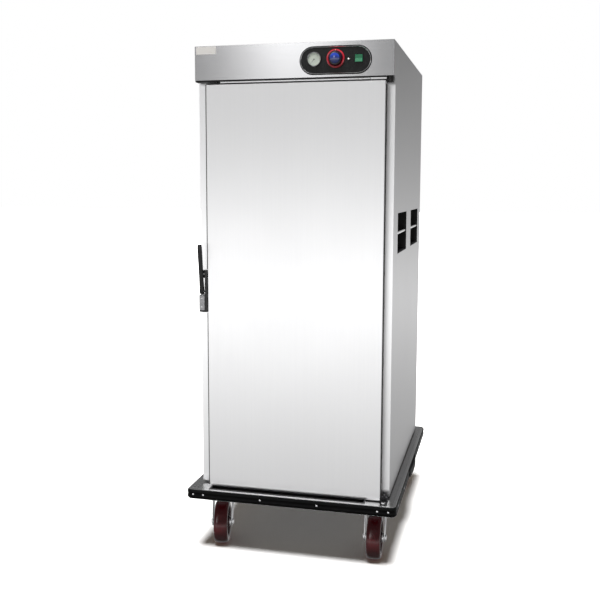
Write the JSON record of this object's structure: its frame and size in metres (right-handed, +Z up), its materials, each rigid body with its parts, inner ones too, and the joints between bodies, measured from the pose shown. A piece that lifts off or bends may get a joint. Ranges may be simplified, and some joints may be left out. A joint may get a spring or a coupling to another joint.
{
  "type": "proofing cabinet",
  "caption": "Mobile insulated proofing and holding cabinet: one swing door, header with controls, tray racks, water pan, fan, bumper base and swivel casters.",
  "frame": {"origin": "on the floor, under the middle of the bumper's outline", "axes": "+Z up, the door faces -Y, +X to the right of someone who faces the door"},
  "size_m": [0.757, 0.985, 1.75],
  "materials": {
    "casing": "satin brushed stainless steel",
    "header": "satin brushed stainless steel",
    "door_steel": "satin brushed stainless steel",
    "base_steel": "satin stainless steel",
    "liner_steel": "semi-bright stainless steel",
    "heater_steel": "heat-tinted stainless tube",
    "foam": "rigid insulation, not seen",
    "bumper_black": "smooth black rubber",
    "gasket_black": "soft black rubber",
    "black_plastic": "fine-textured black plastic",
    "chrome": "polished chrome plate",
    "wheel_red": "glossy dark red polyurethane",
    "dial": "pale grey-green dial",
    "needle": "black painted pointer",
    "knob": "glossy blue cap with a red ring",
    "pilot": "clear lamp lens",
    "rocker_green": "translucent green, lit",
    "hinge_black": "black painted steel",
    "latch_black": "black painted die casting"
  },
  "bodies": {
    "cabinet": {"side_panel_left": "casing", "side_panel_right": "casing", "back_panel": "casing", "top_panel": "casing", "bottom_panel": "casing", "front_frame": "casing", "header_fascia": "header", "lintel_trim": "header", "base_deck": "base_steel", "base_frame": "base_steel", "bumper_channel": "base_steel", "chamber_liner": "liner_steel", "air_duct": "liner_steel", "water_pan": "liner_steel", "tray_rack_left": "liner_steel", "tray_rack_right": "liner_steel", "heater_element": "heater_steel", "insulation": "foam", "bumper_front": "bumper_black", "bumper_rear": "bumper_black", "bumper_joint_left": "bumper_black", "bumper_joint_right": "bumper_black", "drip_tray": "black_plastic", "grip_cup_front_left": "black_plastic", "grip_cup_front_right": "black_plastic", "grip_cup_rear_left": "black_plastic", "grip_cup_rear_right": "black_plastic", "fan_motor": "black_plastic", "power_inlet": "black_plastic", "control_plate": "black_plastic", "switch_body": "black_plastic", "grip_bar_left": "chrome", "grip_bar_right": "chrome", "control_bezel": "chrome", "thermometer_probe": "chrome", "latch_strike": "chrome", "thermometer_case": "dial", "pilot_lamp": "pilot", "hinge_bracket_top": "hinge_black", "hinge_bracket_bottom": "hinge_black"},
    "door": {"door_skin": "door_steel", "door_core": "foam", "door_liner": "door_steel", "door_gasket": "gasket_black", "hinge_strap_top": "hinge_black", "hinge_strap_bottom": "hinge_black", "latch_base": "latch_black"},
    "latch_paddle": {"latch_lever": "latch_black"},
    "knob": {"thermostat_knob": "knob"},
    "needle": {"thermometer_needle": "needle"},
    "rocker": {"switch_rocker": "rocker_green"},
    "fan": {"fan_impeller": "liner_steel"},
    "caster_front_left": {"caster_fork_front_left": "chrome"},
    "roller_front_left": {"wheel_front_left": "wheel_red"},
    "caster_front_right": {"caster_fork_front_right": "chrome"},
    "roller_front_right": {"wheel_front_right": "wheel_red"},
    "caster_rear_left": {"caster_fork_rear_left": "chrome"},
    "roller_rear_left": {"wheel_rear_left": "wheel_red"},
    "caster_rear_right": {"caster_fork_rear_right": "chrome"},
    "roller_rear_right": {"wheel_rear_right": "wheel_red"}
  },
  "joints": [
    {"name": "door_hinge", "type": "hinge", "parent": "cabinet", "child": "door", "pos_m": [0.3235, -0.4365, 0.93], "axis": [0, 0, 1], "range_deg": [0, 180]},
    {"name": "latch_pull", "type": "hinge", "parent": "door", "child": "latch_paddle", "pos_m": [-0.3174, -0.4515, 0.925], "axis": [1, 0, 0], "range_deg": [0, 30], "stiffness_Nm_per_rad": 1.2, "springref_deg": -20.05},
    {"name": "thermostat_turn", "type": "hinge", "parent": "cabinet", "child": "knob", "pos_m": [0.147, -0.4608, 1.6945], "axis": [0, 1, 0], "range_deg": [0, 300]},
    {"name": "needle_sweep", "type": "hinge", "parent": "cabinet", "child": "needle", "pos_m": [0.076, -0.4544, 1.6945], "axis": [0, 1, 0], "range_deg": [0, 250]},
    {"name": "switch_rock", "type": "hinge", "parent": "cabinet", "child": "rocker", "pos_m": [0.2223, -0.4488, 1.6945], "axis": [1, 0, 0], "range_deg": [-12, 0]},
    {"name": "fan_spin", "type": "hinge", "parent": "cabinet", "child": "fan", "pos_m": [0, 0.365, 0.93], "axis": [0, 1, 0], "continuous": true},
    {"name": "swivel_front_left", "type": "hinge", "parent": "cabinet", "child": "caster_front_left", "pos_m": [-0.282, -0.3415, 0.17], "axis": [0, 0, 1], "continuous": true},
    {"name": "roll_front_left", "type": "hinge", "parent": "caster_front_left", "child": "roller_front_left", "pos_m": [-0.2741, -0.37867, 0.075], "axis": [0.9781, 0.2079, 0], "continuous": true},
    {"name": "swivel_front_right", "type": "hinge", "parent": "cabinet", "child": "caster_front_right", "pos_m": [0.282, -0.3415, 0.17], "axis": [0, 0, 1], "continuous": true},
    {"name": "roll_front_right", "type": "hinge", "parent": "caster_front_right", "child": "roller_front_right", "pos_m": [0.28399, -0.37945, 0.075], "axis": [0.9986, 0.0523, 0], "continuous": true},
    {"name": "swivel_rear_left", "type": "hinge", "parent": "cabinet", "child": "caster_rear_left", "pos_m": [-0.282, 0.3415, 0.17], "axis": [0, 0, 1], "continuous": true},
    {"name": "roll_rear_left", "type": "hinge", "parent": "caster_rear_left", "child": "roller_rear_left", "pos_m": [-0.27671, 0.37913, 0.075], "axis": [-0.9903, 0.1392, 0], "continuous": true},
    {"name": "swivel_rear_right", "type": "hinge", "parent": "cabinet", "child": "caster_rear_right", "pos_m": [0.282, 0.3415, 0.17], "axis": [0, 0, 1], "continuous": true},
    {"name": "roll_rear_right", "type": "hinge", "parent": "caster_rear_right", "child": "roller_rear_right", "pos_m": [0.27869, 0.37935, 0.075], "axis": [-0.9962, -0.0872, 0], "continuous": true}
  ]
}
